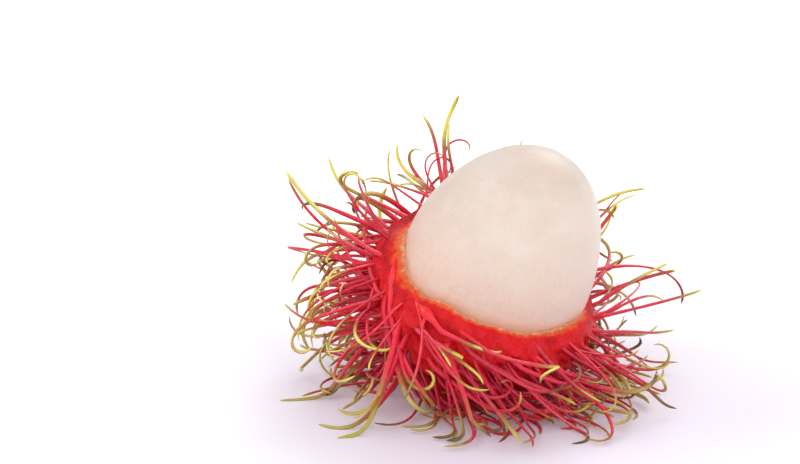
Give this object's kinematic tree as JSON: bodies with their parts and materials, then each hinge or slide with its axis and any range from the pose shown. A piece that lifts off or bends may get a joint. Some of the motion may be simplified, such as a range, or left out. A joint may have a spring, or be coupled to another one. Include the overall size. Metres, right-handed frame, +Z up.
{
  "type": "half-peeled rambutan",
  "caption": "Half-peeled tropical fruit: a bare white aril standing out of a torn cup of red rind covered in soft curling spines.",
  "frame": {"origin": "centre of the small flat spot that the fruit rests on", "axes": "+Z up, away from the surface it rests on. The peeled end leans 33 degrees off +Z, towards -Y and a little towards +X"},
  "size_m": [0.0616, 0.0604, 0.0413],
  "materials": {
    "rind": "satin",
    "flesh": "moist, translucent"
  },
  "bodies": {
    "root": {"rind": "rind", "aril": "flesh"}
  },
  "joints": []
}
